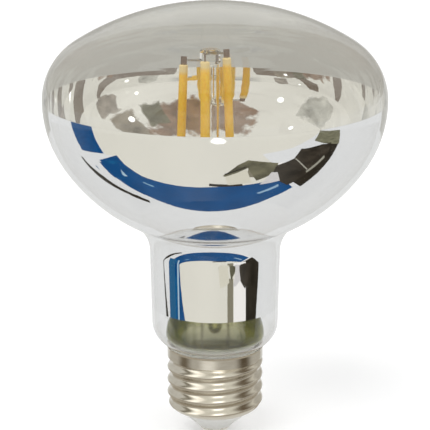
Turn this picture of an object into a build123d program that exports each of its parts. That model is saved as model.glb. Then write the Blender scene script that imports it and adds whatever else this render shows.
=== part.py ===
from build123d import *

import os
from math import acos, asin, atan2, cos, degrees, radians, sin, sqrt, tan

os.makedirs("parts", exist_ok=True)

# LED filament reflector bulb with an E27 screw cap, in millimetres.
# The origin is the middle of the end contact's flat face and +Z runs along the axis to the dome.

# Glass envelope
envelope_diameter = 92.0
dome_height = 25.7
dome_edge_radius = 17.5
rim_radius = 31.0
rim_arc = 34.0
bowl_radius = 50.0
neck_fillet = 9.5
neck_diameter = 35.5
neck_draft = 1.4
neck_length = 20.4
shoulder_radius = 7.0
foot_fillet = 2.0
foot_diameter = 24.6
glass_wall = 1.0
coating_thickness = 0.2
clear_zone_height = 11.5

# Screw cap
crest_diameter = 26.3
thread_depth = 1.05
thread_pitch = 25.4 / 7
thread_height = 12.6
thread_start_angle = -106.0
upper_runout = 0.7
lower_runout = 2.4
collar_diameter = 26.2
collar_height = 3.3
rim_flare = 0.35
rim_flare_height = 0.8
knee_round = 0.6
sheet_thickness = 0.3
glass_seat = 1.2
cement_recess = 0.2

# Insulator and end contact
lip_diameter = 19.4
insulator_height = 4.6
insulator_margin = 0.4
spigot_height = 1.0
contact_diameter = 8.2
contact_flat = 3.6
contact_height = 1.4
contact_edge = 0.4
shank_diameter = 2.2
shank_stand = 0.8

# Glass stem
bell_diameter = 27.0
bell_height = 12.3
bell_round = 1.65
stem_tube_diameter = 11.0
stem_tube_length = 4.0
press_width = 11.0
press_thickness = 4.4
press_height = 5.0
press_taper = 4.0
press_edge = 1.2
exhaust_diameter = 4.0
exhaust_bore = 2.4
exhaust_length = 15.0
rod_diameter = 2.5
bead_cover = 0.25
bead_margin = 1.1
bead_edge = 0.9

# Filaments
filament_top_height = 9.2
pair_step = 1.9
ring_radius = 5.7
ring_offset = -2.6
filament_tilt = 2.2
phosphor_length = 34.1
phosphor_width = 2.5
phosphor_depth = 2.3
phosphor_end_round = 0.4
strip_width = 1.6
strip_thickness = 0.4
top_tab_length = 2.2
foot_tab_length = 3.6

# Wires
wire_diameter = 0.6
wire_bend = 1.2
wire_clearance = 0.1
lead_spacing = 7.2
bridge_height = 1.2
lead_rise = 7.0
weld_lap = 1.2

# Driver in the cap
board_width = 16.0
board_height = 11.5
board_thickness = 0.8
notch_clearance = 0.5
lead_overlap = 2.5
rectifier_length = 4.7
rectifier_width = 3.9
rectifier_depth = 1.6
chip_length = 4.9
chip_width = 3.9
chip_depth = 1.5
capacitor_diameter = 6.3
capacitor_height = 9.0
capacitor_lead_spacing = 2.5
resistor_diameter = 2.2
resistor_length = 4.5
resistor_standoff = 2.2
resistor_lead = 1.3
resistor_edge = 0.5
component_margin = 0.6
component_bend = 0.5
package_taper = 5.0
crimp_from_top = 1.6
crimp_depth = 0.5

# Heights along the cap, from the contact face up
lip_height = contact_height + insulator_height
thread_bottom = lip_height + lower_runout
thread_top = thread_bottom + thread_height
collar_bottom = thread_top + upper_runout
cap_height = collar_bottom + collar_height
flare_bottom = cap_height - rim_flare_height
foot_top = cap_height - glass_seat
foot_bottom = collar_bottom + wire_diameter + 2 * wire_clearance
coating_bottom = cap_height + clear_zone_height

# Section of the envelope as a chain of tangent arcs.
# A normal angle of zero points straight out from the axis, a positive one points down.
envelope_radius = envelope_diameter / 2
neck_radius = neck_diameter / 2
foot_radius = foot_diameter / 2
draft = radians(neck_draft)
rim_angle = radians(rim_arc)
rim_centre_r = envelope_radius - rim_radius
bowl_centre_r = rim_centre_r + (rim_radius - bowl_radius) * cos(rim_angle)
bowl_angle = acos((neck_radius + neck_fillet * cos(draft) - bowl_centre_r) / (bowl_radius + neck_fillet))
fillet_centre_r = neck_radius + neck_fillet * cos(draft)
neck_foot_radius = neck_radius - neck_length * sin(draft)
shoulder_centre_r = neck_foot_radius - shoulder_radius * cos(draft)
foot_centre_r = foot_radius + foot_fillet
shoulder_angle = acos((foot_centre_r - shoulder_centre_r) / (shoulder_radius + foot_fillet))

# Heights of the same arc centres, from the foot up
foot_centre_z = foot_top
shoulder_centre_z = foot_centre_z + (shoulder_radius + foot_fillet) * sin(shoulder_angle)
neck_foot_z = shoulder_centre_z - shoulder_radius * sin(draft)
neck_top_z = neck_foot_z + neck_length * cos(draft)
fillet_centre_z = neck_top_z - neck_fillet * sin(draft)
bowl_centre_z = fillet_centre_z + (bowl_radius + neck_fillet) * sin(bowl_angle)
equator_z = bowl_centre_z + (rim_radius - bowl_radius) * sin(rim_angle)
overall_length = equator_z + dome_height
dome_edge_r = envelope_radius - dome_edge_radius
dome_radius = (dome_edge_r**2 + dome_height**2 - dome_edge_radius**2) / (dome_height - dome_edge_radius) / 2
dome_centre_z = overall_length - dome_radius
dome_edge_arc = degrees(atan2(equator_z - dome_centre_z, dome_edge_r))


def neck_radius_at(height):
    """Outer radius of the tapered neck at a height."""
    return neck_radius - (neck_top_z - height) * tan(draft)


def bowl_arcs(inset):
    """Arcs from the widest diameter down to the top of the neck, set in from the outer surface."""
    CenterArc((rim_centre_r, equator_z), rim_radius - inset, 0, -rim_arc)
    CenterArc(
        (bowl_centre_r, bowl_centre_z),
        bowl_radius - inset,
        -rim_arc,
        rim_arc - degrees(bowl_angle),
    )
    CenterArc(
        (fillet_centre_r, fillet_centre_z),
        neck_fillet + inset,
        180 - degrees(bowl_angle),
        degrees(bowl_angle) - neck_draft,
    )


def neck_point(inset, height):
    """Point on the neck's straight flank at a height."""
    return (neck_radius_at(height) - inset / cos(draft), height)


def neck_top_point(inset):
    """Point where the neck's flank meets the fillet under the bowl."""
    return (neck_radius - inset * cos(draft), neck_top_z + inset * sin(draft))


def neck_foot_point(inset):
    """Point where the neck's flank meets the shoulder above the cap."""
    return (neck_foot_radius - inset * cos(draft), neck_foot_z + inset * sin(draft))


def envelope_line(inset):
    """Open section line of the envelope from the apex to the foot, set in from the outer surface."""
    CenterArc((0, dome_centre_z), dome_radius - inset, 90, dome_edge_arc - 90)
    CenterArc((dome_edge_r, equator_z), dome_edge_radius - inset, dome_edge_arc, -dome_edge_arc)
    bowl_arcs(inset)
    Line(neck_top_point(inset), neck_foot_point(inset))
    CenterArc(
        (shoulder_centre_r, shoulder_centre_z),
        shoulder_radius - inset,
        -neck_draft,
        neck_draft - degrees(shoulder_angle),
    )
    CenterArc(
        (foot_centre_r, foot_centre_z),
        foot_fillet + inset,
        180 - degrees(shoulder_angle),
        degrees(shoulder_angle),
    )
    Line((foot_radius - inset, foot_top), (foot_radius - inset, foot_bottom))


# Blown glass envelope, open at its foot
with BuildPart() as glass_envelope:
    with BuildSketch(Plane.XZ):
        with BuildLine():
            envelope_line(0)
            Line((foot_radius, foot_bottom), (foot_radius - glass_wall, foot_bottom))
            envelope_line(glass_wall)
            Line((0, overall_length - glass_wall), (0, overall_length))
        make_face()
    revolve(axis=Axis.Z)
glass_envelope.part.label = "glass_envelope"
export_step(glass_envelope.part, "parts/glass_envelope.step")

# Mirror coating on the inside of the bowl and neck
coating_inset = glass_wall + coating_thickness
with BuildPart() as mirror_coating:
    with BuildSketch(Plane.XZ):
        with BuildLine():
            bowl_arcs(glass_wall)
            Line(neck_top_point(glass_wall), neck_point(glass_wall, coating_bottom))
            Line(neck_point(glass_wall, coating_bottom), neck_point(coating_inset, coating_bottom))
            Line(neck_point(coating_inset, coating_bottom), neck_top_point(coating_inset))
            bowl_arcs(coating_inset)
            Line((envelope_radius - coating_inset, equator_z), (envelope_radius - glass_wall, equator_z))
        make_face()
    revolve(axis=Axis.Z)
mirror_coating.part.label = "mirror_coating"
export_step(mirror_coating.part, "parts/mirror_coating.step")

# Filaments on a ring about the stem, leaning out a little towards their feet
filament_top_z = equator_z + filament_top_height
lean = radians(filament_tilt)
filament_names = ("right", "rear", "left", "front")
raised_pair = ("right", "front")


def filament_rise(name):
    """How far a filament stands above the lower pair."""
    return pair_step if name in raised_pair else 0


def filament_plane(index):
    """Plane at the top of a filament's phosphor, with Z up along it and X pointing away from the ring."""
    outward = Vector(1, 0, 0).rotate(Axis.Z, 360 / len(filament_names) * index)
    top_z = filament_top_z + filament_rise(filament_names[index])
    top = Vector(ring_offset, 0, top_z) + outward * ring_radius
    return Plane(
        origin=top,
        x_dir=outward * cos(lean) + Vector(0, 0, sin(lean)),
        z_dir=Vector(0, 0, cos(lean)) - outward * sin(lean),
    )


def tab_edge_radius(name, height):
    """Distance from the ring's centre to the inner edge of a filament's strip at a height."""
    drop = filament_top_z + filament_rise(name) - height
    return ring_radius + drop * tan(lean) - strip_width / 2 / cos(lean)


for index, name in enumerate(filament_names):
    plane = filament_plane(index)
    with BuildPart() as filament_strip:
        with BuildSketch(plane.offset(top_tab_length)):
            Rectangle(strip_width, strip_thickness)
        extrude(amount=-(phosphor_length + top_tab_length + foot_tab_length))
    filament_strip.part.label = f"filament_strip_{name}"
    export_step(filament_strip.part, f"parts/filament_strip_{name}.step")

    along = Axis(plane.origin, plane.z_dir)
    with BuildPart() as filament_phosphor:
        with BuildSketch(plane):
            SlotOverall(phosphor_width, phosphor_depth, rotation=90)
        extrude(amount=-phosphor_length)
        fillet(filament_phosphor.faces().sort_by(along).last.edges(), phosphor_end_round)
        fillet(filament_phosphor.faces().sort_by(along).first.edges(), phosphor_end_round)
        add(filament_strip.part, mode=Mode.SUBTRACT)
    filament_phosphor.part.label = f"filament_phosphor_{name}"
    export_step(filament_phosphor.part, f"parts/filament_phosphor_{name}.step")

# Wires
wire_radius = wire_diameter / 2
lead_x = lead_spacing / 2
upper_bridge_z = filament_top_z + bridge_height
top_bridge_z = upper_bridge_z + pair_step
lower_bridge_z = filament_top_z - phosphor_length * cos(lean) - (foot_tab_length - pair_step) / 2
weld_gap = wire_radius * tan(lean)


def weld_reach(name, height):
    """Length of a wire from the ring's centre to its weld on a filament's strip."""
    return tab_edge_radius(name, height) - weld_gap


board_bottom_z = lip_height + spigot_height
board_top_z = board_bottom_z + board_height
lead_end_z = board_top_z - lead_overlap
lead_bend_z = lower_bridge_z - lead_rise
left_weld_x = ring_offset - weld_reach("left", lower_bridge_z)
lap_top_z = lower_bridge_z + weld_lap
right_lap_x = ring_offset + tab_edge_radius("right", lap_top_z) - wire_radius
wire_routes = {
    "lead_wire_left": (
        (-lead_x, 0, lead_end_z),
        (-lead_x, 0, lead_bend_z),
        ((left_weld_x - lead_x) / 2, 0, lower_bridge_z),
        (left_weld_x, 0, lower_bridge_z),
    ),
    "lead_wire_right": (
        (lead_x, 0, lead_end_z),
        (lead_x, 0, lead_bend_z),
        (right_lap_x, 0, lower_bridge_z),
        (right_lap_x, 0, lap_top_z),
    ),
    "upper_bridge_wire_front": (
        (ring_offset + weld_reach("right", top_bridge_z), 0, top_bridge_z),
        (ring_offset, 0, top_bridge_z),
        (ring_offset, -weld_reach("front", top_bridge_z), top_bridge_z),
    ),
    "upper_bridge_wire_rear": (
        (ring_offset - weld_reach("left", upper_bridge_z), 0, upper_bridge_z),
        (ring_offset, 0, upper_bridge_z),
        (ring_offset, weld_reach("rear", upper_bridge_z), upper_bridge_z),
    ),
}
sealed_wires = []
for name, points in wire_routes.items():
    with BuildPart() as bent_wire:
        with BuildLine() as route:
            FilletPolyline(*points, radius=wire_bend)
        with BuildSketch(Plane(origin=route.line @ 0, z_dir=route.line % 0)):
            Circle(wire_radius)
        sweep(path=route.line)
    bent_wire.part.label = name
    export_step(bent_wire.part, f"parts/{name}.step")
    sealed_wires.append(bent_wire.part)

front_reach = weld_reach("front", lower_bridge_z)
rear_reach = weld_reach("rear", lower_bridge_z)
with BuildPart() as lower_bridge_wire:
    with BuildSketch(Plane.XZ.offset(front_reach)):
        with Locations((ring_offset, lower_bridge_z)):
            Circle(wire_radius)
    extrude(amount=-(front_reach + rear_reach))
lower_bridge_wire.part.label = "lower_bridge_wire"
export_step(lower_bridge_wire.part, "parts/lower_bridge_wire.step")
sealed_wires.append(lower_bridge_wire.part)

# Glass stem: bell sealed to the envelope's foot, tube, press with the leads in it, rod with two beads
bore_radius = foot_radius - glass_wall
seal_reach = foot_fillet + glass_wall
bell_radius = bell_diameter / 2
bell_round_r = bell_radius - bell_round
seal_angle = degrees(acos((foot_centre_r - bell_round_r) / (seal_reach + bell_round)))
bell_z = foot_centre_z + (seal_reach + bell_round) * sin(radians(seal_angle))
tube_radius = stem_tube_diameter / 2
tube_bore = tube_radius - glass_wall
inner_bell_r = bell_radius - glass_wall
inner_bell_height = bell_height - glass_wall
tube_start_z = bell_z + bell_height * sqrt(1 - (tube_radius / bell_radius) ** 2)
tube_bore_start_z = bell_z + inner_bell_height * sqrt(1 - (tube_bore / inner_bell_r) ** 2)
tube_top_z = tube_start_z + stem_tube_length
press_bottom_z = tube_top_z + press_taper
press_top_z = press_bottom_z + press_height
exhaust_tip_z = tube_top_z - exhaust_length
exhaust_radius = exhaust_diameter / 2
bore_r = exhaust_bore / 2
pump_hole_z = press_bottom_z + press_height / 2
bead_x = ring_offset / 2
bead_radius = abs(bead_x) + rod_diameter / 2 + bead_cover
bell_end_angle = degrees(acos(tube_radius / bell_radius))
inner_bell_end_angle = degrees(acos(tube_bore / inner_bell_r))

with BuildPart() as glass_stem:
    # bell and tube
    with BuildSketch(Plane.XZ):
        with BuildLine():
            Line((bore_radius, foot_bottom), (bore_radius, foot_top))
            CenterArc((foot_centre_r, foot_centre_z), seal_reach, 180, -seal_angle)
            CenterArc((bell_round_r, bell_z), bell_round, -seal_angle, seal_angle)
            EllipticalCenterArc((0, bell_z), bell_radius, bell_height, start_angle=0, arc_size=bell_end_angle)
            Polyline(
                (tube_radius, tube_start_z),
                (tube_radius, tube_top_z),
                (0, tube_top_z),
                (0, tube_top_z - glass_wall),
                (tube_bore, tube_top_z - glass_wall),
                (tube_bore, tube_bore_start_z),
            )
            EllipticalCenterArc(
                (0, bell_z),
                inner_bell_r,
                inner_bell_height,
                start_angle=0,
                arc_size=inner_bell_end_angle,
            )
            CenterArc((bell_round_r, bell_z), bell_round - glass_wall, -seal_angle, seal_angle)
            CenterArc((foot_centre_r, foot_centre_z), seal_reach + glass_wall, 180, -seal_angle)
            Polyline(
                (bore_radius - glass_wall, foot_top),
                (bore_radius - glass_wall, foot_bottom),
                (bore_radius, foot_bottom),
            )
        make_face()
    revolve(axis=Axis.Z)
    # pinched press above the tube
    with BuildSketch(Plane.XY.offset(tube_top_z)):
        Circle(tube_radius)
    with BuildSketch(Plane.XY.offset(press_bottom_z)):
        RectangleRounded(press_width, press_thickness, press_edge)
    loft()
    with BuildSketch(Plane.XY.offset(press_bottom_z)):
        RectangleRounded(press_width, press_thickness, press_edge)
    extrude(amount=press_height)
    fillet(glass_stem.faces().sort_by(Axis.Z).last.edges(), press_edge)
    # exhaust tube, sealed at its tip
    with BuildSketch(Plane.XZ):
        with BuildLine():
            CenterArc((0, exhaust_tip_z + exhaust_radius), exhaust_radius, -90, 90)
            Line((exhaust_radius, exhaust_tip_z + exhaust_radius), (exhaust_radius, tube_top_z))
            Line((exhaust_radius, tube_top_z), (bore_r, tube_top_z))
            Line((bore_r, tube_top_z), (bore_r, exhaust_tip_z + exhaust_radius))
            CenterArc((0, exhaust_tip_z + exhaust_radius), bore_r, -90, 90)
            Line((0, exhaust_tip_z + exhaust_radius - bore_r), (0, exhaust_tip_z))
        make_face()
    revolve(axis=Axis.Z)
    # pumping hole from the tube out through the side of the press
    with BuildSketch(Plane.XY.offset(tube_top_z - glass_wall)):
        Circle(bore_r)
    extrude(amount=pump_hole_z - tube_top_z + glass_wall, mode=Mode.SUBTRACT)
    with BuildSketch(Plane.XZ):
        with Locations((0, pump_hole_z)):
            Circle(bore_r)
    extrude(amount=press_thickness, mode=Mode.SUBTRACT)
    # rod and its two beads, which stand off to the side where the bridge wires cross
    with BuildSketch(Plane.XY.offset(press_top_z - press_edge)):
        Circle(rod_diameter / 2)
    extrude(amount=top_bridge_z - press_top_z + press_edge)
    for low, high in ((lower_bridge_z, lower_bridge_z), (upper_bridge_z, top_bridge_z)):
        with BuildSketch(Plane.XZ) as bead_section:
            with Locations((bead_x, low - bead_margin)):
                Rectangle(bead_radius, high - low + 2 * bead_margin, align=Align.MIN)
            fillet(bead_section.vertices().group_by(Axis.X)[-1], bead_edge)
        revolve(axis=Axis((bead_x, 0, 0), (0, 0, 1)))
    # the wires are sealed into the glass
    for wire in sealed_wires:
        add(wire, mode=Mode.SUBTRACT)
glass_stem.part.label = "glass_stem"
export_step(glass_stem.part, "parts/glass_stem.step")

# Rolled cap shell: a ring carried up a fine helix gives the rounded thread at one sheet thickness
thread_wave = thread_depth / 2
thread_mean = crest_diameter / 2 - thread_wave
collar_radius = collar_diameter / 2
lip_radius = lip_diameter / 2
knee_radius = (thread_mean + lip_radius) / 2 + knee_round
thread_path = Rotation(0, 0, thread_start_angle) * Helix(
    thread_pitch, thread_height, thread_wave, center=(0, 0, thread_bottom)
)
thread_foot_centre = thread_path @ 0
thread_head_centre = thread_path @ 1
knee_centre = (thread_foot_centre + Vector(0, 0, lip_height)) / 2


def sheet_ring(radius):
    """Ring one sheet thick inside a radius."""
    Circle(radius)
    Circle(radius - sheet_thickness, mode=Mode.SUBTRACT)


with BuildPart() as cap_shell:
    with BuildSketch(Plane(origin=thread_foot_centre)):
        sheet_ring(thread_mean)
    sweep(path=thread_path, normal=(0, 0, 1))
    # the thread runs out into the plain collar
    with BuildSketch(Plane(origin=thread_head_centre)):
        sheet_ring(thread_mean)
    with BuildSketch(Plane.XY.offset(collar_bottom)):
        sheet_ring(collar_radius)
    loft()
    # collar with a flared rim
    with BuildSketch(Plane.XZ):
        with BuildLine():
            Polyline(
                (collar_radius - sheet_thickness, flare_bottom),
                (collar_radius - sheet_thickness, collar_bottom),
                (collar_radius, collar_bottom),
                (collar_radius, flare_bottom),
            )
            outer_flare = TangentArc(
                (collar_radius, flare_bottom),
                (collar_radius + rim_flare, cap_height),
                tangent=(0, 1),
            )
            Line(outer_flare @ 1, (collar_radius + rim_flare - sheet_thickness, cap_height))
            TangentArc(
                (collar_radius - sheet_thickness, flare_bottom),
                (collar_radius + rim_flare - sheet_thickness, cap_height),
                tangent=(0, 1),
            )
        make_face()
    revolve(axis=Axis.Z)
    # the lower end closes in to the lip that holds the insulator
    with BuildSketch(Plane(origin=thread_foot_centre)):
        sheet_ring(thread_mean)
    with BuildSketch(Plane(origin=knee_centre)):
        sheet_ring(knee_radius)
    with BuildSketch(Plane.XY.offset(lip_height)):
        sheet_ring(lip_radius)
    loft()
cap_shell.part.label = "cap_shell"
export_step(cap_shell.part, "parts/cap_shell.step")

# Cement between the collar and the glass foot, filled up to just below the rim
cement_top_z = cap_height - cement_recess
cement_angle = degrees(asin((cement_top_z - foot_centre_z) / foot_fillet))
cement_outer_r = collar_radius - sheet_thickness
with BuildPart() as cement_ring:
    with BuildSketch(Plane.XZ):
        with BuildLine():
            Line((foot_radius, foot_bottom), (foot_radius, foot_top))
            glass_side = CenterArc((foot_centre_r, foot_centre_z), foot_fillet, 180, -cement_angle)
            Polyline(
                glass_side @ 1,
                (cement_outer_r, cement_top_z),
                (cement_outer_r, foot_bottom),
                (foot_radius, foot_bottom),
            )
        make_face()
    revolve(axis=Axis.Z)
cement_ring.part.label = "cement_ring"
export_step(cement_ring.part, "parts/cement_ring.step")

# Moulded insulator that closes the cap below its lip
contact_radius = contact_diameter / 2
shank_radius = shank_diameter / 2
with BuildPart() as cap_insulator:
    with BuildSketch(Plane.XZ):
        with BuildLine():
            Polyline(
                (shank_radius, contact_height),
                (contact_radius + insulator_margin, contact_height),
                (lip_radius, lip_height),
                (lip_radius - sheet_thickness, lip_height),
                (lip_radius - sheet_thickness, board_bottom_z),
                (shank_radius, board_bottom_z),
                close=True,
            )
        make_face()
    revolve(axis=Axis.Z)
cap_insulator.part.label = "cap_insulator"
export_step(cap_insulator.part, "parts/cap_insulator.step")

# End contact: a domed button with a flat face, on a shank through the insulator
flat_radius = contact_flat / 2
dome_rise = contact_height - contact_edge
shank_top_z = board_bottom_z + shank_stand
with BuildPart() as end_contact:
    with BuildSketch(Plane.XZ):
        with BuildLine():
            Line((0, 0), (flat_radius, 0))
            EllipticalCenterArc(
                (flat_radius, dome_rise),
                contact_radius - flat_radius,
                dome_rise,
                start_angle=-90,
                arc_size=90,
            )
            Polyline(
                (contact_radius, dome_rise),
                (contact_radius, contact_height),
                (shank_radius, contact_height),
                (shank_radius, shank_top_z),
                (0, shank_top_z),
                (0, 0),
            )
        make_face()
    revolve(axis=Axis.Z)
end_contact.part.label = "end_contact"
export_step(end_contact.part, "parts/end_contact.step")

# Driver board standing on the insulator, with the wires soldered along its front face
board_front_y = wire_radius
board_rear_y = board_front_y + board_thickness
board_middle_z = (board_bottom_z + board_top_z) / 2
notch_width = shank_diameter + 2 * notch_clearance
notch_height = shank_stand + notch_clearance
with BuildPart() as driver_board:
    with BuildSketch(Plane.XZ.offset(-board_front_y)):
        with Locations((0, board_middle_z)):
            Rectangle(board_width, board_height)
        with Locations((0, board_bottom_z + notch_height / 2)):
            Rectangle(notch_width, notch_height, mode=Mode.SUBTRACT)
    extrude(amount=-board_thickness)
driver_board.part.label = "driver_board"
export_step(driver_board.part, "parts/driver_board.step")

# Moulded rectifier on the front of the board and control chip on its back
side_x = (board_width + notch_width) / 4
with BuildPart() as bridge_rectifier:
    with BuildSketch(Plane.XZ.offset(-board_front_y)):
        with Locations((-side_x, board_bottom_z + component_margin + rectifier_width / 2)):
            Rectangle(rectifier_length, rectifier_width)
    extrude(amount=rectifier_depth, taper=package_taper)
bridge_rectifier.part.label = "bridge_rectifier"
export_step(bridge_rectifier.part, "parts/bridge_rectifier.step")

with BuildPart() as driver_chip:
    with BuildSketch(Plane.XZ.offset(-board_rear_y)):
        with Locations((side_x, board_middle_z)):
            Rectangle(chip_length, chip_width)
    extrude(amount=-chip_depth, taper=package_taper)
driver_chip.part.label = "driver_chip"
export_step(driver_chip.part, "parts/driver_chip.step")

# Smoothing capacitor: a crimped can that stands behind the board, with both leads bent over to it
capacitor_radius = capacitor_diameter / 2
capacitor_y = board_rear_y + capacitor_radius
crimp_z = board_bottom_z + capacitor_height - crimp_from_top
pad_z = board_top_z - component_margin - wire_radius
capacitor_plane = Plane(origin=(-side_x, capacitor_y, 0), x_dir=(1, 0, 0), z_dir=(0, -1, 0))
with BuildPart() as smoothing_capacitor:
    with BuildSketch(capacitor_plane):
        with BuildLine():
            Polyline(
                (0, board_bottom_z),
                (capacitor_radius, board_bottom_z),
                (capacitor_radius, crimp_z - crimp_depth),
                (capacitor_radius - crimp_depth, crimp_z),
                (capacitor_radius, crimp_z + crimp_depth),
                (capacitor_radius, board_bottom_z + capacitor_height),
                (0, board_bottom_z + capacitor_height),
                close=True,
            )
        make_face()
    revolve(axis=Axis((-side_x, capacitor_y, 0), (0, 0, 1)))
    for lead_side in (-1, 1):
        lead_at = -side_x + lead_side * capacitor_lead_spacing / 2
        with BuildLine() as lead:
            FilletPolyline(
                (lead_at, capacitor_y, board_bottom_z + capacitor_height),
                (lead_at, capacitor_y, pad_z),
                (lead_at, board_rear_y, pad_z),
                radius=component_bend,
            )
        with BuildSketch(Plane(origin=lead.line @ 0)):
            Circle(wire_radius)
        sweep(path=lead.line)
smoothing_capacitor.part.label = "smoothing_capacitor"
export_step(smoothing_capacitor.part, "parts/smoothing_capacitor.step")

# Fusible resistor between the end contact's shank and the board
resistor_foot_z = shank_top_z + resistor_lead
resistor_run_z = resistor_foot_z + resistor_lead
with BuildPart() as fusible_resistor:
    with BuildSketch(Plane(origin=(0, -resistor_standoff, (resistor_run_z + pad_z) / 2))):
        Circle(resistor_diameter / 2)
    extrude(amount=resistor_length / 2, both=True)
    fillet(fusible_resistor.edges().filter_by(GeomType.CIRCLE), resistor_edge)
    with BuildLine() as lead:
        FilletPolyline(
            (0, 0, shank_top_z),
            (0, 0, resistor_foot_z),
            (0, -resistor_standoff, resistor_run_z),
            (0, -resistor_standoff, pad_z),
            (0, board_front_y, pad_z),
            radius=component_bend,
        )
    with BuildSketch(Plane(origin=lead.line @ 0)):
        Circle(wire_radius)
    sweep(path=lead.line)
fusible_resistor.part.label = "fusible_resistor"
export_step(fusible_resistor.part, "parts/fusible_resistor.step")

# Wire from the board out under the glass foot to the collar
shell_wire_x = board_width / 2 - component_margin - wire_radius
shell_wire_z = collar_bottom + wire_clearance + wire_radius
shell_wire_end = sqrt((collar_radius - sheet_thickness) ** 2 - wire_radius**2)
with BuildPart() as shell_wire:
    with BuildLine() as route:
        FilletPolyline(
            (-shell_wire_x, 0, lead_end_z),
            (-shell_wire_x, 0, shell_wire_z),
            (-shell_wire_end, 0, shell_wire_z),
            radius=wire_bend,
        )
    with BuildSketch(Plane(origin=route.line @ 0)):
        Circle(wire_radius)
    sweep(path=route.line)
shell_wire.part.label = "shell_wire"
export_step(shell_wire.part, "parts/shell_wire.step")
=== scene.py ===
from math import acos, atan2, cos, hypot, pi, radians, sin, sqrt, tau

import bpy
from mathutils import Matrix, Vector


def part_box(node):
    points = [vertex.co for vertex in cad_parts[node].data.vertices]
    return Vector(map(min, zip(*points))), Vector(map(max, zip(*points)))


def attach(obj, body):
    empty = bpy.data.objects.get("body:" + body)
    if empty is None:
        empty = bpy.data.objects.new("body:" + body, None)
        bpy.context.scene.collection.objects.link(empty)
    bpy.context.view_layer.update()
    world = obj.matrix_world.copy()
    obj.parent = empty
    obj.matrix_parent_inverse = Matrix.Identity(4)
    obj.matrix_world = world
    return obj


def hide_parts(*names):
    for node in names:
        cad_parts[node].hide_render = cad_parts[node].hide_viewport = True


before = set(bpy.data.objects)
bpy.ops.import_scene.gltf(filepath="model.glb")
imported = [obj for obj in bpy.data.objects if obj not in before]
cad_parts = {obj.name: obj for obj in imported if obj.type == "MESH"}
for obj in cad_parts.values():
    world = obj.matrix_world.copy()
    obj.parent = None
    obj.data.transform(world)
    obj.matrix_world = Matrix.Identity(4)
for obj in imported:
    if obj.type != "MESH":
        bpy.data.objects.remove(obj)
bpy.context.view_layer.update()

# Reflector bulb: fine turned meshes for the glass, the mirror and the rolled cap around the CAD frame.
# Lengths are in metres, in the frame's own axes: the end contact at the origin, the dome up +Z.
MM = 0.001

# Envelope, as the CAD model has it
envelope_radius = 46.0 * MM
dome_height = 25.7 * MM
dome_edge_radius = 17.5 * MM
rim_radius = 31.0 * MM
rim_arc = radians(34.0)
bowl_radius = 50.0 * MM
neck_fillet = 9.5 * MM
neck_radius = 17.75 * MM
neck_draft = radians(1.4)
neck_length = 20.4 * MM
shoulder_radius = 7.0 * MM
foot_fillet = 2.0 * MM
foot_radius = 12.3 * MM
glass_seat = 1.2 * MM
bell_height = 15.2 * MM

# Glass wall and mirror film, as they are drawn
skin_inset = 0.02 * MM
drawn_wall = 0.35 * MM
film_gap = 0.03 * MM
film_thickness = 0.15 * MM

# Screw cap
crest_radius = 13.15 * MM
thread_depth = 1.05 * MM
thread_pitch = 25.4 / 7 * MM
thread_start = radians(-106.0)
sheet = 0.3 * MM
flare = 0.35 * MM
flare_height = 0.8 * MM
lip_radius = 9.7 * MM
collar_radius = 13.1 * MM
lip_z = 6.0 * MM
thread_bottom = 8.4 * MM
thread_top = 21.0 * MM
collar_bottom = 21.7 * MM
knee_round = 0.6 * MM

# Fineness of the turned meshes
turn_steps = 224
arc_step = radians(1.2)
neck_steps = 12
foot_steps = 4
knee_steps = 10
thread_steps = 126
run_out_steps = 8
collar_steps = 4
flare_steps = 8
sharp_angle = radians(35)
same_point = 0.0001 * MM
on_axis = 0.001 * MM


def between(ends, share):
    """Value at a share of the way between two ends."""
    return ends[0] + (ends[1] - ends[0]) * share


def arc(centre, radius, start, end):
    """Points along a circular arc in the section plane, from one angle to another."""
    steps = max(2, round(abs(end - start) / arc_step))
    angles = [start + (end - start) * i / steps for i in range(steps + 1)]
    return [(centre[0] + radius * cos(a), centre[1] + radius * sin(a)) for a in angles]


def run(start, end, steps):
    """Points along a straight line in the section plane."""
    shares = [i / steps for i in range(steps + 1)]
    return [(between((start[0], end[0]), t), between((start[1], end[1]), t)) for t in shares]


def chain(*lines):
    """Joins lines of section points and drops the doubled ends."""
    points = []
    for line in lines:
        for point in line:
            if not points or abs(point[0] - points[-1][0]) + abs(point[1] - points[-1][1]) > same_point:
                points.append(point)
    return points


# Arc centres of the envelope's section, as in the CAD model
foot_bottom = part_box("glass_envelope")[0][2]
cap_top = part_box("cap_shell")[1][2]
coating_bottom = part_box("mirror_coating")[0][2]
foot_top = cap_top - glass_seat
bell_top = foot_top + bell_height
rim_centre_r = envelope_radius - rim_radius
bowl_centre_r = rim_centre_r + (rim_radius - bowl_radius) * cos(rim_arc)
fillet_centre_r = neck_radius + neck_fillet * cos(neck_draft)
bowl_angle = acos((fillet_centre_r - bowl_centre_r) / (bowl_radius + neck_fillet))
shoulder_centre_r = neck_radius - neck_length * sin(neck_draft) - shoulder_radius * cos(neck_draft)
foot_centre_r = foot_radius + foot_fillet
shoulder_angle = acos((foot_centre_r - shoulder_centre_r) / (shoulder_radius + foot_fillet))
shoulder_centre_z = foot_top + (shoulder_radius + foot_fillet) * sin(shoulder_angle)
neck_top_z = shoulder_centre_z - shoulder_radius * sin(neck_draft) + neck_length * cos(neck_draft)
fillet_centre_z = neck_top_z - neck_fillet * sin(neck_draft)
bowl_centre_z = fillet_centre_z + (bowl_radius + neck_fillet) * sin(bowl_angle)
equator_z = bowl_centre_z + (rim_radius - bowl_radius) * sin(rim_arc)
dome_edge_r = envelope_radius - dome_edge_radius
dome_power = dome_edge_r**2 + dome_height**2 - dome_edge_radius**2
dome_radius = dome_power / (dome_height - dome_edge_radius) / 2
dome_centre_z = equator_z + dome_height - dome_radius
dome_edge_arc = atan2(equator_z - dome_centre_z, dome_edge_r)


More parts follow.
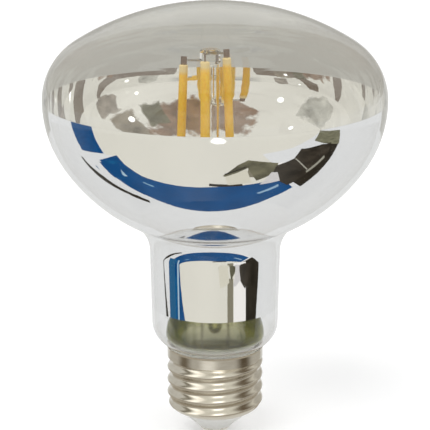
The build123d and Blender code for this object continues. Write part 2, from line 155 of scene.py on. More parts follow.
def bowl_section(inset):
    """Section of the bowl from the widest diameter down to the top of the neck."""
    return chain(
        arc((rim_centre_r, equator_z), rim_radius - inset, 0, -rim_arc),
        arc((bowl_centre_r, bowl_centre_z), bowl_radius - inset, -rim_arc, -bowl_angle),
        arc((fillet_centre_r, fillet_centre_z), neck_fillet + inset, pi - bowl_angle, pi - neck_draft),
    )


def envelope_section(inset):
    """Whole section of the envelope from the apex to the foot, set in from the outer face."""
    bowl = bowl_section(inset)
    shoulder_centre = (shoulder_centre_r, shoulder_centre_z)
    shoulder = arc(shoulder_centre, shoulder_radius - inset, -neck_draft, -shoulder_angle)
    foot = arc((foot_centre_r, foot_top), foot_fillet + inset, pi - shoulder_angle, pi)
    return chain(
        arc((0, dome_centre_z), dome_radius - inset, pi / 2, dome_edge_arc),
        arc((dome_edge_r, equator_z), dome_edge_radius - inset, dome_edge_arc, 0),
        bowl,
        run(bowl[-1], shoulder[0], neck_steps),
        shoulder,
        foot,
        run(foot[-1], (foot_radius - inset, foot_bottom), foot_steps),
    )


def film_section(inset):
    """Section of one face of the mirror film, from the widest diameter to the clear foot."""
    top = bowl_section(inset)
    slope = sin(neck_draft) / cos(neck_draft)
    end_r = neck_radius - (neck_top_z - coating_bottom) * slope - inset / cos(neck_draft)
    return chain(top, run(top[-1], (end_r, coating_bottom), neck_steps))


def mesh_object(name, vertices, faces):
    """Smooth mesh object in the scene."""
    mesh = bpy.data.meshes.new(name)
    mesh.from_pydata(vertices, [], faces)
    mesh.validate()
    for polygon in mesh.polygons:
        polygon.use_smooth = True
    mesh.set_sharp_from_angle(angle=sharp_angle)
    piece = bpy.data.objects.new(name, mesh)
    bpy.context.collection.objects.link(piece)
    return piece


def turned(name, section, closed):
    """Solid of revolution: a section with its ends on the axis, or a closed loop off the axis."""
    vertices = []
    rings = []
    for r, z in section:
        if r < on_axis:
            rings.append([len(vertices)] * turn_steps)
            vertices.append((0, 0, z))
        else:
            rings.append(list(range(len(vertices), len(vertices) + turn_steps)))
            for i in range(turn_steps):
                angle = tau * i / turn_steps
                vertices.append((r * cos(angle), r * sin(angle), z))
    pairs = list(zip(rings, rings[1:]))
    if closed:
        pairs.append((rings[-1], rings[0]))
    faces = []
    for upper, lower in pairs:
        for i in range(turn_steps):
            j = (i + 1) % turn_steps
            corners = [upper[i], lower[i], lower[j], upper[j]]
            faces.append(list(dict.fromkeys(corners)))
    return mesh_object(name, vertices, faces)


# Blown envelope: outer face from the apex to the foot, and back up the inner face
envelope_loop = envelope_section(skin_inset) + envelope_section(drawn_wall)[::-1]
envelope = turned("envelope_glass", envelope_loop, closed=False)

# Mirror film just inside the glass
film_outer = drawn_wall + film_gap
film_inner = film_outer + film_thickness
film_loop = film_section(film_outer) + film_section(film_inner)[::-1]
mirror_film = turned("mirror_film", film_loop, closed=True)

# Rolled cap shell: a stack of rings whose centre circles the axis once in each pitch
wave = thread_depth / 2
thread_mean = crest_radius - wave
flare_arc = (flare**2 + flare_height**2) / (2 * flare)
flare_bottom = cap_top - flare_height
knee_radius = (thread_mean + lip_radius) / 2 + knee_round
run_out_radius = (thread_mean + collar_radius) / 2
thread_turn = tau * (thread_top - thread_bottom) / thread_pitch


def ring_at(share, heights, radii, wobbles, phase):
    """Ring between two heights: height, radius, and how far and where its centre lies off the axis."""
    first, middle, last = radii
    radius = first * (1 - share) * (1 - 2 * share)
    radius += middle * 4 * share * (1 - share)
    radius += last * share * (2 * share - 1)
    return (between(heights, share), radius, between(wobbles, share), phase)


def cap_rings():
    """Rings of the cap's outer face from the lip to the flared rim."""
    rings = []
    knee_radii = (lip_radius, knee_radius, thread_mean)
    for i in range(knee_steps):
        share = i / knee_steps
        rings.append(ring_at(share, (lip_z, thread_bottom), knee_radii, (0, wave), thread_start))
    for i in range(thread_steps):
        share = i / thread_steps
        z = between((thread_bottom, thread_top), share)
        rings.append((z, thread_mean, wave, thread_start + thread_turn * share))
    run_out_radii = (thread_mean, run_out_radius, collar_radius)
    thread_end = thread_start + thread_turn
    for i in range(run_out_steps):
        share = i / run_out_steps
        rings.append(ring_at(share, (thread_top, collar_bottom), run_out_radii, (wave, 0), thread_end))
    for i in range(collar_steps):
        rings.append((between((collar_bottom, flare_bottom), i / collar_steps), collar_radius, 0, 0))
    for i in range(flare_steps + 1):
        rise = flare_height * i / flare_steps
        radius = collar_radius + flare_arc - sqrt(flare_arc**2 - rise**2)
        rings.append((flare_bottom + rise, radius, 0, 0))
    return rings


def rolled_shell(name, rings):
    """Closed shell of one sheet thickness from a stack of rings."""
    vertices = []
    for depth in (0, sheet):
        for z, radius, wobble, phase in rings:
            for i in range(turn_steps):
                angle = tau * i / turn_steps
                x = wobble * cos(phase) + (radius - depth) * cos(angle)
                y = wobble * sin(phase) + (radius - depth) * sin(angle)
                vertices.append((x, y, z))
    count = len(rings)
    faces = []

    def strip(a, b):
        """Faces between two rings."""
        first = a * turn_steps
        second = b * turn_steps
        for i in range(turn_steps):
            j = (i + 1) % turn_steps
            faces.append([first + i, first + j, second + j, second + i])

    for k in range(count - 1):
        strip(k, k + 1)
        strip(count + k + 1, count + k)
    strip(count, 0)
    strip(count - 1, 2 * count - 1)
    return mesh_object(name, vertices, faces)


cap = rolled_shell("cap_thread_shell", cap_rings())

# Materials: the range that noise mostly lies in, and the shares of its height where a filament turns pale
noise_low = 0.3
noise_high = 0.7
phosphor_end = (0.925, 0.96)

# Glass: how it bends light, and the depth and size of its ripples
glass_index = 1.5
ripple_depth = 0.05 * MM
envelope_ripple = (0.012, 40)
stem_ripple = (0.3, 260)

# Bell of the stem: where its colour fades at the top and at the foot, how far round it deepens,
# its streaks, how clear it is at the foot, and how hazy the bell and the rod are
bell_fade = (bell_top - 1 * MM, bell_top + 3 * MM)
foot_fade = (foot_top + 2.2 * MM, foot_top + 4.0 * MM)
bell_turn = (0.05, 0.24)
streak_scale = 420
streak_stretch = (1, 1, 0.15)
streak_strength = 0.06
foot_clearness = 0.15
bell_haze = 0.16
rod_haze = 0.02


def new_material(name):
    """Node material with its Principled shader."""
    material = bpy.data.materials.new(name)
    material.use_nodes = True
    return material, material.node_tree, material.node_tree.nodes["Principled BSDF"]


def math_value(tree, operation, first, second):
    """Result of an operation on two values, of which the second may be a plain number."""
    node = tree.nodes.new("ShaderNodeMath")
    node.operation = operation
    tree.links.new(first, node.inputs[0])
    if isinstance(second, (int, float)):
        node.inputs[1].default_value = second
    else:
        tree.links.new(second, node.inputs[1])
    return node.outputs["Value"]


def map_range(tree, value, start, end, low=0, high=1):
    """Maps a value from one range to another, and holds it there."""
    node = tree.nodes.new("ShaderNodeMapRange")
    node.inputs["From Min"].default_value = start
    node.inputs["From Max"].default_value = end
    node.inputs["To Min"].default_value = low
    node.inputs["To Max"].default_value = high
    tree.links.new(value, node.inputs["Value"])
    return node.outputs["Result"]


def axis_value(tree, space, axis):
    """Place along one axis, in object space or as a share of the object's box."""
    place = tree.nodes.new("ShaderNodeTexCoord")
    axes = tree.nodes.new("ShaderNodeSeparateXYZ")
    tree.links.new(place.outputs[space], axes.inputs["Vector"])
    return axes.outputs[axis]


def noise(tree, scale, detail, stretch=(1, 1, 1)):
    """Noise in object space, stretched along the axes."""
    place = tree.nodes.new("ShaderNodeTexCoord")
    mapping = tree.nodes.new("ShaderNodeMapping")
    mapping.inputs["Scale"].default_value = stretch
    texture = tree.nodes.new("ShaderNodeTexNoise")
    texture.inputs["Scale"].default_value = scale
    texture.inputs["Detail"].default_value = detail
    tree.links.new(place.outputs["Object"], mapping.inputs["Vector"])
    tree.links.new(mapping.outputs["Vector"], texture.inputs["Vector"])
    return texture.outputs["Fac"]


def spread(tree, value, low, high):
    """Maps a noise value to a range."""
    return map_range(tree, value, noise_low, noise_high, low, high)


def blend_colours(tree, value, low, high, start=noise_low, end=noise_high):
    """Colour between two plain colours by a value."""
    ramp = tree.nodes.new("ShaderNodeValToRGB")
    stops = ramp.color_ramp.elements
    for stop, position, colour in zip(stops, (start, end), (low, high)):
        stop.position = position
        stop.color = (*colour, 1)
    tree.links.new(value, ramp.inputs["Fac"])
    return ramp.outputs["Color"]


def mix_colours(tree, share, first, second):
    """Colour between two colours by a share. Each one is plain or comes from a node."""
    node = tree.nodes.new("ShaderNodeMix")
    node.data_type = "RGBA"
    tree.links.new(share, node.inputs["Factor"])
    for name, colour in (("A", first), ("B", second)):
        if isinstance(colour, tuple):
            node.inputs[name].default_value = (*colour, 1)
        else:
            tree.links.new(colour, node.inputs[name])
    return node.outputs["Result"]


def mix_shaders(tree, share, first, second):
    """Sends a mix of two shaders to the material's output."""
    mix = tree.nodes.new("ShaderNodeMixShader")
    tree.links.new(share, mix.inputs["Fac"])
    tree.links.new(first, mix.inputs[1])
    tree.links.new(second, mix.inputs[2])
    tree.links.new(mix.outputs["Shader"], tree.nodes["Material Output"].inputs["Surface"])


def bump(tree, shader, value, strength, distance):
    """Bump from a noise value."""
    node = tree.nodes.new("ShaderNodeBump")
    node.inputs["Strength"].default_value = strength
    node.inputs["Distance"].default_value = distance
    tree.links.new(value, node.inputs["Height"])
    tree.links.new(node.outputs["Normal"], shader.inputs["Normal"])


def surface(name, low, high, scale, rough, metallic=0, stretch=(1, 1, 1), relief=0.2, depth=0.02 * MM):
    """Opaque material with mottled colour, uneven roughness and a fine relief."""
    material, tree, shader = new_material(name)
    grain = noise(tree, scale, 6, stretch)
    tree.links.new(blend_colours(tree, grain, low, high), shader.inputs["Base Color"])
    tree.links.new(spread(tree, grain, *rough), shader.inputs["Roughness"])
    shader.inputs["Metallic"].default_value = metallic
    bump(tree, shader, grain, relief, depth)
    return material


def metal(name, low, high, scale, rough, **details):
    """Metal with mottled colour, uneven roughness and a fine relief."""
    return surface(name, low, high, scale, rough, metallic=1, **details)


def phosphor_body(name, low, high, end):
    """Phosphor with a paler, clearer end above the last chip."""
    material = surface(name, low, high, 1500, (0.3, 0.5))
    tree = material.node_tree
    shader = tree.nodes["Principled BSDF"]
    body = shader.inputs["Base Color"].links[0].from_socket
    rise = map_range(tree, axis_value(tree, "Generated", "Z"), *phosphor_end)
    tree.links.new(mix_colours(tree, rise, body, end), shader.inputs["Base Color"])
    return material


def glass(name, colour, strength, scale):
    """Clear rippled glass that lets lamps through to what is behind it. Gives its noise too."""
    material, tree, shader = new_material(name)
    shader.inputs["Base Color"].default_value = (*colour, 1)
    shader.inputs["Transmission Weight"].default_value = 1
    shader.inputs["IOR"].default_value = glass_index
    cloud = noise(tree, scale, 2)
    bump(tree, shader, cloud, strength, ripple_depth)
    clear = tree.nodes.new("ShaderNodeBsdfTransparent")
    clear.inputs["Color"].default_value = (*colour, 1)
    path = tree.nodes.new("ShaderNodeLightPath")
    lamps = math_value(tree, "MAXIMUM", path.outputs["Is Shadow Ray"], path.outputs["Is Diffuse Ray"])
    mix_shaders(tree, lamps, shader.outputs["BSDF"], clear.outputs["BSDF"])
    return material, tree, shader, cloud


def envelope_glass(name, colour, rough):
    """Envelope glass: clear, with a faint unevenness."""
    material, tree, shader, cloud = glass(name, colour, *envelope_ripple)
    tree.links.new(spread(tree, cloud, *rough), shader.inputs["Roughness"])
    return material


def stem_glass(name, rod, bell_face, bell_edge):
    """Stem glass: clear along the rod, olive in the bell and deeper where the bell turns away.

    The bell is hazy, and it is milky where it meets the foot.
    """
    material, tree, shader, _ = glass(name, rod, *stem_ripple)
    height = axis_value(tree, "Object", "Z")
    above_bell = map_range(tree, height, *bell_fade)
    above_foot = map_range(tree, height, *foot_fade)
    weight = tree.nodes.new("ShaderNodeLayerWeight")
    weight.inputs["Blend"].default_value = 0.5
    streaks = noise(tree, streak_scale, 3, streak_stretch)
    streaks = spread(tree, streaks, -streak_strength, streak_strength)
    turn = math_value(tree, "ADD", weight.outputs["Facing"], streaks)
    bell = blend_colours(tree, turn, bell_face, bell_edge, *bell_turn)
    below = mix_colours(tree, above_foot, rod, bell)
    tree.links.new(mix_colours(tree, above_bell, below, rod), shader.inputs["Base Color"])
    clearness = map_range(tree, above_foot, 0, 1, foot_clearness, 1)
    haze = map_range(tree, above_bell, 0, 1, bell_haze, rod_haze)
    tree.links.new(clearness, shader.inputs["Transmission Weight"])
    tree.links.new(haze, shader.inputs["Roughness"])
    return material


envelope_material = envelope_glass("clear_glass", (0.965, 0.965, 0.96), (0.0, 0.012))
stem_material = stem_glass("stem_glass", (0.95, 0.95, 0.93), (0.85, 0.84, 0.58), (0.14, 0.145, 0.008))
mirror_material = metal(
    "mirror", (0.93, 0.93, 0.93), (0.96, 0.96, 0.955), 60, (0.01, 0.03), relief=0.5, depth=0.06 * MM
)
nickel = metal(
    "cap_nickel", (0.70, 0.66, 0.59), (0.77, 0.74, 0.67), 300, (0.13, 0.2), stretch=(1, 1, 4), relief=0.02
)
contact_metal = metal(
    "contact_nickel", (0.74, 0.72, 0.68), (0.84, 0.83, 0.80), 900, (0.2, 0.38), relief=0.1
)
wire_metal = metal("wire_metal", (0.40, 0.38, 0.35), (0.58, 0.56, 0.53), 2500, (0.25, 0.45))
strip_metal = metal("strip_metal", (0.20, 0.135, 0.10), (0.34, 0.25, 0.20), 2500, (0.3, 0.5))
phosphor = phosphor_body("phosphor", (0.95, 0.50, 0.015), (1.0, 0.64, 0.04), (0.86, 0.66, 0.30))
insulator = surface("insulator", (0.80, 0.80, 0.77), (0.86, 0.86, 0.84), 600, (0.3, 0.5))
cement = surface("cement", (0.72, 0.70, 0.64), (0.82, 0.80, 0.74), 1800, (0.8, 0.95), relief=0.6)
board = surface("board", (0.02, 0.10, 0.04), (0.03, 0.14, 0.06), 1500, (0.35, 0.5))
chip = surface("chip_body", (0.012, 0.012, 0.013), (0.025, 0.025, 0.026), 3000, (0.4, 0.6))
can = surface("capacitor_can", (0.012, 0.015, 0.03), (0.03, 0.034, 0.05), 1500, (0.3, 0.45))
resistor = surface("resistor_body", (0.06, 0.20, 0.18), (0.09, 0.26, 0.23), 2500, (0.4, 0.6))

node_materials = {
    "glass_stem": stem_material,
    "end_contact": contact_metal,
    "cap_insulator": insulator,
    "cement_ring": cement,
    "driver_board": board,
    "bridge_rectifier": chip,
    "driver_chip": chip,
    "smoothing_capacitor": can,
    "fusible_resistor": resistor,
}
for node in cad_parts:
    if "wire" in node:
        node_materials[node] = wire_metal
    elif node.startswith("filament_strip"):
        node_materials[node] = strip_metal
    elif node.startswith("filament_phosphor"):
        node_materials[node] = phosphor


# Smooth shading of the CAD nodes, with their edges kept sharp
def smooth_group():
    """Geometry nodes that merge doubled points and shade smooth below the sharp angle."""
    group = bpy.data.node_groups.new("smooth_faces", "GeometryNodeTree")
    group.interface.new_socket("Geometry", in_out="INPUT", socket_type="NodeSocketGeometry")
    group.interface.new_socket("Geometry", in_out="OUTPUT", socket_type="NodeSocketGeometry")
    start = group.nodes.new("NodeGroupInput")
    end = group.nodes.new("NodeGroupOutput")
    merge = group.nodes.new("GeometryNodeMergeByDistance")
    merge.inputs["Distance"].default_value = 0.001 * MM
    smooth = group.nodes.new("GeometryNodeSetShadeSmooth")
    sharp = group.nodes.new("GeometryNodeSetShadeSmooth")
    sharp.domain = "EDGE"
    sharp.inputs["Shade Smooth"].default_value = False
    angle = group.nodes.new("GeometryNodeInputMeshEdgeAngle")
    above = group.nodes.new("FunctionNodeCompare")
    above.operation = "GREATER_THAN"
    above.inputs["B"].default_value = sharp_angle
    group.links.new(start.outputs["Geometry"], merge.inputs["Geometry"])
    group.links.new(merge.outputs["Geometry"], smooth.inputs["Geometry"])
    group.links.new(smooth.outputs["Geometry"], sharp.inputs["Geometry"])
    group.links.new(angle.outputs["Unsigned Angle"], above.inputs["A"])
    group.links.new(above.outputs["Result"], sharp.inputs["Selection"])
    group.links.new(sharp.outputs["Geometry"], end.inputs["Geometry"])
    return group


smooth_faces = smooth_group()
for node, material in node_materials.items():
    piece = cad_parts[node]
    piece.data.materials.clear()
    piece.data.materials.append(material)
    modifier = piece.modifiers.new("smooth_faces", "NODES")
    modifier.node_group = smooth_faces

for piece, node, slot, material in (
    (envelope, "glass_envelope", "clear_glass", envelope_material),
    (mirror_film, "mirror_coating", "mirror", mirror_material),
    (cap, "cap_shell", "cap_metal", nickel),
):
    piece.data.materials.append(material)
    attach(piece, "root")
    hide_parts(node)

# Stage: pale floor, white surroundings, soft lamps and boards for the mirror to reflect
ambient_level = 0.55
floor_half = 4.0
floor_shade = (0.8, 0.8, 0.8)
floor_roughness = 0.9
floor_lift = 0.24
white = (1, 1, 1)


def seen_directly(tree):
    """One for rays from the camera, from gloss or through glass."""
    path = tree.nodes.new("ShaderNodeLightPath")
    first = math_value(tree, "MAXIMUM", path.outputs["Is Camera Ray"], path.outputs["Is Glossy Ray"])
    return math_value(tree, "MAXIMUM", first, path.outputs["Is Transmission Ray"])


world = bpy.data.worlds.new("studio")
bpy.context.scene.world = world
world.use_nodes = True
tree = world.node_tree
background = tree.nodes["Background"]
background.inputs["Color"].default_value = (*white, 1)
level = map_range(tree, seen_directly(tree), 0, 1, ambient_level, 1)
tree.links.new(level, background.inputs["Strength"])

floor_corners = [(-floor_half, -floor_half, 0), (floor_half, -floor_half, 0)]
floor_corners += [(floor_half, floor_half, 0), (-floor_half, floor_half, 0)]
floor = mesh_object("floor", floor_corners, [[0, 1, 2, 3]])
material, tree, shader = new_material("floor")
shader.inputs["Base Color"].default_value = (*floor_shade, 1)
shader.inputs["Roughness"].default_value = floor_roughness
shader.inputs["Specular IOR Level"].default_value = 0.0
shader.inputs["Emission Color"].default_value = (*white, 1)
lift = math_value(tree, "MULTIPLY", seen_directly(tree), floor_lift)
tree.links.new(lift, shader.inputs["Emission Strength"])
floor.data.materials.append(material)

# What shows a board: the mirror through the glass, the bare metal and the glass's outer face, or all
in_mirror = (True, False)
on_metal = (False, True)
on_all = (True, True)

# Edges of boards: how far noise bites into them, and the edge value where they are solid
fade_start = 0.05
ragged = (0.22, 0.26)
blurred = (0.03, 0.9)
even = (0.05, 0.2)
glare = (0.02, 0.5)

# Grain of boards, and how far it takes their colours down and up
wide_grain = 5
fine_grain = 40
flat_grain = 45
darker = 1.8
lighter = 1.4

# Grids of boards, and where they stand round the bulb's head
card_steps = 16
ring_steps = 64
sky_middle = 0.09
lamp_distance = 1.05
light_distance = 1.1
near_distance = 1.15
sky_distance = 1.2
far_distance = 1.25
ribbon_distance = 1.4
tent_distance = 3.8

# Heights and radii of boards on the floor, in millimetres, where higher boards hide lower ones
tip_height = 0.02
far_height = 0.2
mat_height = 0.3
grey_height = 0.5
cream_height = 0.6
board_height = 0.8
glow_height = 0.9
over_board = 1.0
top_board = 1.2
raised = 26
layer = 0.2
lid_height = 33
fence_radius = 104
floor_edge = 3900


def mottle(tree, glow, colour, cloud, unevenness):
    """Varies a board's colour by a noise value."""
    deep = [c * (1 - darker * unevenness) for c in colour]
    light = [c * (1 + lighter * unevenness) for c in colour]
    tree.links.new(blend_colours(tree, cloud, deep, light), glow.inputs["Color"])


def edge_mask(tree, glow, colour, soft, grain):
    """Mottles a board's colour, and gives a mask that falls where the board's edge value is low."""
    unevenness, fade_end = soft
    border = tree.nodes.new("ShaderNodeAttribute")
    border.attribute_name = "edge"
    cloud = noise(tree, grain, 4)
    mottle(tree, glow, colour, cloud, unevenness)
    bite = spread(tree, cloud, -unevenness, unevenness)
    uneven = math_value(tree, "ADD", border.outputs["Fac"], bite)
    mask = map_range(tree, uneven, fade_start, fade_end)
    mask.node.interpolation_type = "SMOOTHSTEP"
    return mask


def glow_card(name, corners, faces, colour, seen, edge=None, soft=None, grain=None, bounces=1, uneven=0):
    """Board that the camera sees only by way of the glass, the mirror or the bare metal.

    It shows after at least the given number of mirror bounces.
    """
    card = mesh_object(name, corners, faces)
    material, tree, shader = new_material(name)
    tree.nodes.remove(shader)
    glow = tree.nodes.new("ShaderNodeEmission")
    glow.inputs["Color"].default_value = (*colour, 1)
    path = tree.nodes.new("ShaderNodeLightPath")
    mask = math_value(tree, "GREATER_THAN", path.outputs["Glossy Depth"], bounces - 0.5)
    if soft:
        card.data.attributes.new("edge", "FLOAT", "POINT").data.foreach_set("value", edge)
        mask = math_value(tree, "MULTIPLY", mask, edge_mask(tree, glow, colour, soft, grain))
    elif uneven:
        mottle(tree, glow, colour, noise(tree, flat_grain, 5), uneven)
    gap = tree.nodes.new("ShaderNodeBsdfTransparent")
    mix_shaders(tree, mask, gap.outputs["BSDF"], glow.outputs["Emission"])
    card.data.materials.append(material)
    card.visible_camera = False
    card.visible_diffuse = False
    card.visible_shadow = False
    card.visible_transmission, card.visible_glossy = seen
    return material


def patch_card(name, place, colour, seen, soft=None, grain=fine_grain, bounces=1, outline="sides"):
    """Board on a grid whose points come from a function of two shares, with its edges known for fading.

    It fades towards its sides, towards all four edges of a box or towards a round edge.
    """
    shares = [i / card_steps for i in range(card_steps + 1)]
    pairs = [(u, v) for u in shares for v in shares]
    corners = [place(u, v) for u, v in pairs]
    if outline == "sides":
        edge = [2 * min(u, 1 - u) for u, v in pairs]
    elif outline == "round":
        edge = [max(0, 1 - hypot(2 * u - 1, 2 * v - 1)) for u, v in pairs]
    else:
        edge = [2 * min(u, v, 1 - u, 1 - v) for u, v in pairs]
    row = card_steps + 1
    faces = []
    for i in range(card_steps):
        for j in range(card_steps):
            k = i * row + j
            faces.append([k, k + 1, k + row + 1, k + row])
    return glow_card(name, corners, faces, colour, seen, edge, soft, grain, bounces)


def floor_point(azimuth, radius, height):
    """Point from millimetres round the axis, with the azimuth counted from the front to the right."""
    a = radians(azimuth)
    return (radius * MM * sin(a), -radius * MM * cos(a), height * MM)


def sky_point(azimuth, elevation, distance):
    """Point in a direction from the bulb's head, with the azimuth counted from the front to the right."""
    a = radians(azimuth)
    e = radians(elevation)
    return (distance * sin(a) * cos(e), -distance * cos(a) * cos(e), sky_middle + distance * sin(e))


def floor_card(name, points, colour, height=board_height, uneven=0):
    """Flat board from points in millimetres, which the mirror behind the glass sees."""
    corners = [(x * MM, y * MM, height * MM) for x, y in points]
    glow_card(name, corners, [list(range(len(corners)))], colour, in_mirror, uneven=uneven)


def ring_card(name, radii, height, colour, seen, bounces=1):
    """Flat ring on the floor between two radii in millimetres."""
    turns = [360 * i / ring_steps for i in range(ring_steps)]
    corners = [floor_point(turn, radius, height) for radius in radii for turn in turns]
    faces = []
    for i in range(ring_steps):
        j = (i + 1) % ring_steps
        faces.append([i, j, ring_steps + j, ring_steps + i])
    glow_card(name, corners, faces, colour, seen, bounces=bounces)


def wedge_card(name, azimuths, radii, height, colour, seen, soft=None, bounces=1):
    """Flat board on the floor between two azimuths and two radii in millimetres."""

    def place(u, v):
        return floor_point(between(azimuths, u), between(radii, v), height)

    patch_card(name, place, colour, seen, soft, bounces=bounces)


def fence_card(name, azimuths, top, colour):
    """Upright board on the floor that the mirrored neck sees."""

    def place(u, v):
        return floor_point(between(azimuths, u), fence_radius, top * v)

    patch_card(name, place, colour, in_mirror)


def glow_spot(name, place, colour):
    """Round bright spot with a soft edge, which the mirror behind the glass sees."""
    patch_card(name, place, colour, in_mirror, glare, outline="round")


def sky_lamp(name, azimuth, elevation, size):
    """Round lamp in one direction, with its size in degrees."""

    def place(u, v):
        return sky_point(azimuth + size * (u - 0.5), elevation + size * (v - 0.5), lamp_distance)

    glow_spot(name, place, lamp_white)


def sky_card(name, azimuths, heights, colour, seen, distance=sky_distance, arch=0, soft=None, bounces=1):
    """Curved board between two azimuths and two elevations.

    An arch, in degrees, lifts the lower edge towards both ends.
    """

    def place(u, v):
        low = heights[0] + arch * (2 * u - 1) ** 2
        return sky_point(between(azimuths, u), between((low, heights[1]), v), distance)

    return patch_card(name, place, colour, seen, soft, wide_grain, bounces, "box")


def sky_ribbon(name, path, width, colour):
    """Narrow band through a few azimuths and elevations, which shows after two bounces in the bowl."""
    corners = []
    for k in range(card_steps + 1):
        t = k / card_steps * (len(path) - 1)
        i = min(int(t), len(path) - 2)
        azimuth = between((path[i][0], path[i + 1][0]), t - i)
        elevation = between((path[i][1], path[i + 1][1]), t - i)
        for half in (-0.5, 0.5):
            corners.append(sky_point(azimuth, elevation + half * width, ribbon_distance))
    faces = [[2 * k, 2 * k + 1, 2 * k + 3, 2 * k + 2] for k in range(card_steps)]
    glow_card(name, corners, faces, colour, in_mirror, bounces=2)


# Colours that the boards share
blue = (0.0005, 0.07, 0.225)
cream = (0.785, 0.765, 0.685)
dark = (0.026, 0.022, 0.016)
pale = (0.80, 0.81, 0.82)
grey = (0.43, 0.42, 0.38)
lamp_white = (2.2, 2.2, 2.1)

# What the mirror behind the glass sees on the floor: pale mat, grey far floor, and boards in front
cream_points = [(-700, -48), (-166, -48), (-160, -62), (78, -66), (95, -172), (170, -152), (700, -132)]
cream_points += [(700, -900), (-700, -900)]
blue_points = [(-158, -74), (-120, -68), (-82, -66), (10, -81), (72, -72), (70, -38), (-40, -31)]
blue_points += [(-150, -22)]
side_points = [(-500, -45), (-172, -45), (-188, 20), (-500, 140)]
shadow_points = [(-6, -87), (28, -82), (28, -77), (-6, -81)]
right_gleam_points = [(36, -55), (62, -59), (60, -54), (38, -52)]
middle_gleam_points = [(-72, -55), (-58, -56), (-57, -54), (-70, -53)]
dark_points = [(76, -30), (79, -92), (128, -96), (180, -118), (225, -78), (240, -22)]
edge_points = [(-160, 31), (-106, 7), (-48, -21), (-50, -24), (-108, -3), (-162, 27)]
olive_points = [(250, -120), (386, -151), (380, -32), (226, -20), (232, -78)]
ring_card("pale_mat", (1, floor_edge), mat_height, pale, in_mirror, bounces=0)
wedge_card("grey_floor", (140, 220), (300, floor_edge), grey_height, grey, in_mirror, bounces=0)
floor_card("cream_board", cream_points, cream, cream_height)
floor_card("blue_board", blue_points, blue, uneven=0.08)
wedge_card("blue_glow", (-79, -63), (100, 150), glow_height, (0.004, 0.105, 0.275), in_mirror, blurred)
floor_card("blue_board_side", side_points, blue, uneven=0.1)
floor_card("blue_shadow", shadow_points, dark, over_board)
floor_card("blue_gleam_right", right_gleam_points, (0.30, 0.46, 0.62), over_board)
floor_card("blue_gleam_middle", middle_gleam_points, (0.26, 0.46, 0.62), over_board)
floor_card("dark_board", dark_points, dark, uneven=0.25)
floor_card("dark_edge", edge_points, dark, over_board)
floor_card("olive_board", olive_points, (0.20, 0.195, 0.13), over_board, 0.2)
wedge_card("taupe_board", (21, 31), (103, 148), over_board, (0.24, 0.22, 0.16), in_mirror)
wedge_card("white_board", (32, 54), (103, 148), top_board, (0.95, 0.93, 0.91), in_mirror)

# Bright window, as a soft round patch on the floor in front, in millimetres
window_middle = (12, -350)
window_size = (72, 130)


def window_place(u, v):
    """Point of the bright window at two shares of its size."""
    x = window_middle[0] + window_size[0] * (u - 0.5)
    y = window_middle[1] + window_size[1] * (v - 0.5)
    return (x * MM, y * MM, top_board * MM)


glow_spot("bright_window", window_place, (2.0, 2.0, 1.95))

# Upright strips that the neck sees, under lids that the bowl sees
pale_lid_points = [(-103, -23.8), (-70, -28), (-72.5, -17), (-103, -15.5)]
blue_lid_points = [(-99.6, -24.2), (-70, -28), (-65, -37.7), (-86.3, -50.5)]
fence_card("blue_fence", (-84, -71), 25, (0.02, 0.12, 0.26))
fence_card("pale_fence", (-66, -63), 24, (0.40, 0.56, 0.68))
floor_card("pale_lid", pale_lid_points, pale, lid_height)
floor_card("blue_lid", blue_lid_points, blue, lid_height)

# Raised table things, which the bowl sees from above and the neck looks under
wing_points = [(7, -88), (26, -111), (43, -122), (62, -104), (72, -92), (51, -73), (34, -70), (35, -100)]
wing_points += [(10, -85)]
table_points = [(66, -88), (95, -85), (133, -101), (147, -76), (182, -47), (117, -38), (77, -43)]
table_points += [(52, -45), (48, -70)]
panel_points = [(9, -86), (33, -97), (29, -69), (10, -70)]
panel_shadow_points = [(9, -92), (34, -104), (34, -101.5), (9, -89)]
box_points = [(53, -77), (58, -73), (51, -57), (34, -62)]
strip_points = [(80, -48), (77, -45), (118, -40), (124, -44)]
line_points = [(95, -83), (97.5, -83), (84, -49), (82, -49)]
floor_card("cloth_wing", wing_points, (0.16, 0.15, 0.095), raised, 0.32)
floor_card("dark_table", table_points, (0.045, 0.037, 0.028), raised + layer, 0.3)
floor_card("cream_panel", panel_points, (0.72, 0.69, 0.58), raised + 2 * layer)
# Painted shadow: a dark strip along one edge of the cream panel stands in for the shade under the panel
floor_card("panel_shadow", panel_shadow_points, dark, raised + 3 * layer)
floor_card("pale_box", box_points, (0.68, 0.66, 0.66), raised + 2 * layer)
floor_card("pale_strip", strip_points, (0.36, 0.35, 0.29), raised + 2 * layer)
floor_card("pale_line", line_points, (0.40, 0.39, 0.33), raised + 2 * layer)

# Tent over everything: cream in front and high up, grey low at the back
tent_rise = (0.5, 1.6)
tent_front = (2.7, 1.5)
tent = sky_card("tent", (0, 360), (-1, 89.9), white, on_all, tent_distance, bounces=0)
tree = tent.node_tree
high = map_range(tree, axis_value(tree, "Object", "Z"), *tent_rise)
front = map_range(tree, axis_value(tree, "Object", "Y"), *tent_front)
wall = math_value(tree, "MAXIMUM", high, front)
tree.links.new(blend_colours(tree, wall, grey, cream, 0, 1), tree.nodes["Emission"].inputs["Color"])

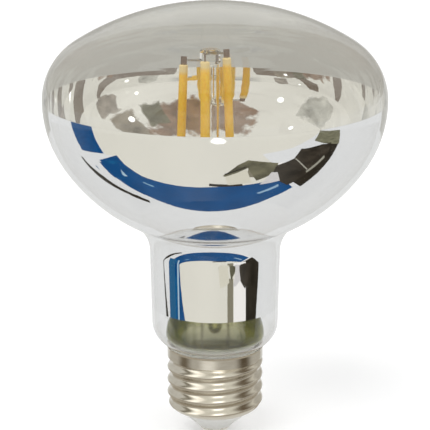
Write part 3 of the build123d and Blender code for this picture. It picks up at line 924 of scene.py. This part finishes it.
# What the mirror behind the glass sees above: lamps, brown and grey flags, and bands along the far rim
left_rim = [(-2, 9), (-16, 21), (-32, 31), (-64, 37), (-120, 39)]
right_rim = [(28, 6), (41, 11), (50, 22), (60, 34), (120, 39)]
sky_lamp("left_lamp", -50.5, 19, 7)
sky_lamp("right_lamp", 73, 32, 7)
sky_lamp("left_spark", -73.5, 41.5, 5)
sky_lamp("right_spark", 59, 10, 4)
sky_card("brown_flag", (-42, 70), (18, 62), (0.25, 0.165, 0.11), in_mirror, arch=18, soft=ragged)
sky_card("olive_flag", (42, 62), (20, 46), (0.15, 0.14, 0.09), in_mirror, near_distance, soft=ragged)
sky_card("right_blob", (66, 92), (22, 56), (0.27, 0.235, 0.18), in_mirror, far_distance, soft=ragged)
sky_ribbon("left_rim", left_rim, 16, (0.24, 0.20, 0.165))
sky_ribbon("right_rim", right_rim, 19, (0.19, 0.15, 0.115))
sky_card("right_side_flag", (74, 99), (2, 23), (0.34, 0.30, 0.25), in_mirror, arch=7, soft=ragged)
sky_card("left_panel", (-99, -66), (6, 31), (0.50, 0.49, 0.43), in_mirror, arch=6, soft=ragged)

# What the bare nickel sees below: a pale far floor, a ring of painted floor shade round the foot, and
# warm mats with a bright front and dark sides
side_radii = (50, 380)
ring_card("tip_mat", (1, 16), tip_height, (0.70, 0.68, 0.63), on_metal)
# Painted shade: a darker ring round the foot of the bulb stands in for the floor's shadow there, and the
# thread shows it as dark lines in its valleys
ring_card("painted_floor_shade", (16, 50), mat_height, (0.44, 0.40, 0.33), on_metal)
ring_card("far_mat", (50, floor_edge), far_height, (0.76, 0.76, 0.74), on_metal)
wedge_card("warm_mat", (-135, 135), (50, 360), mat_height, (0.50, 0.48, 0.43), on_metal)
wedge_card("front_mat", (-44, 16), side_radii, cream_height, (0.92, 0.90, 0.84), on_metal, blurred)
wedge_card("left_mat", (-98, -48), side_radii, board_height, (0.16, 0.13, 0.09), on_metal, blurred)
wedge_card("right_mat", (40, 98), side_radii, board_height, (0.11, 0.085, 0.055), on_metal, blurred)

# What the bare nickel sees above: pale walls behind, dark flags at the sides, bright lights in front
tall = (-10, 75)
sky_card("left_wall", (-170, -96), tall, (0.62, 0.61, 0.57), on_metal, soft=even)
sky_card("left_flag", (-104, -74), tall, (0.16, 0.14, 0.10), on_metal, near_distance, soft=blurred)
sky_card("left_light", (-82, -36), tall, (1.7, 1.65, 1.53), on_metal, light_distance, soft=blurred)
sky_card("front_light", (-16, 28), (-10, 60), (2.5, 2.45, 2.3), on_metal, light_distance, soft=blurred)
sky_card("right_flag", (44, 122), (-20, 90), (0.15, 0.115, 0.075), on_metal, soft=blurred)
sky_card("right_wall", (113, 170), tall, (0.50, 0.48, 0.43), on_metal, soft=even)


def soft_sun(name, azimuth, elevation, width, strength):
    """Wide soft light from one direction, which reflections don't show."""
    data = bpy.data.lights.new(name, "SUN")
    data.energy = strength
    data.angle = radians(width)
    lamp = bpy.data.objects.new(name, data)
    bpy.context.collection.objects.link(lamp)
    lamp.rotation_euler = (radians(90 - elevation), 0, radians(azimuth))
    lamp.visible_glossy = False
    lamp.visible_transmission = False


soft_sun("key", -40, 55, 50, 1.5)
soft_sun("fill", 60, 40, 60, 0.7)
soft_sun("back", 170, 45, 70, 0.8)

# Camera at the photograph's place, looking down a little
camera_place = (0, -490.7 * MM, 196.28 * MM)
camera_dip = 15.347
camera_data = bpy.data.cameras.new("camera")
camera = bpy.data.objects.new("camera", camera_data)
bpy.context.collection.objects.link(camera)
camera.location = camera_place
camera.rotation_euler = (radians(90 - camera_dip), 0, 0)
camera_data.sensor_width = 36
camera_data.lens = 157.35
camera_data.clip_start = 10 * MM
scene = bpy.context.scene
scene.camera = camera

scene.view_settings.view_transform = "Standard"

# Enough bounces for two walls of glass and several turns in the bowl
scene.cycles.max_bounces = 24
scene.cycles.glossy_bounces = 12
scene.cycles.transmission_bounces = 20
scene.cycles.transparent_max_bounces = 16
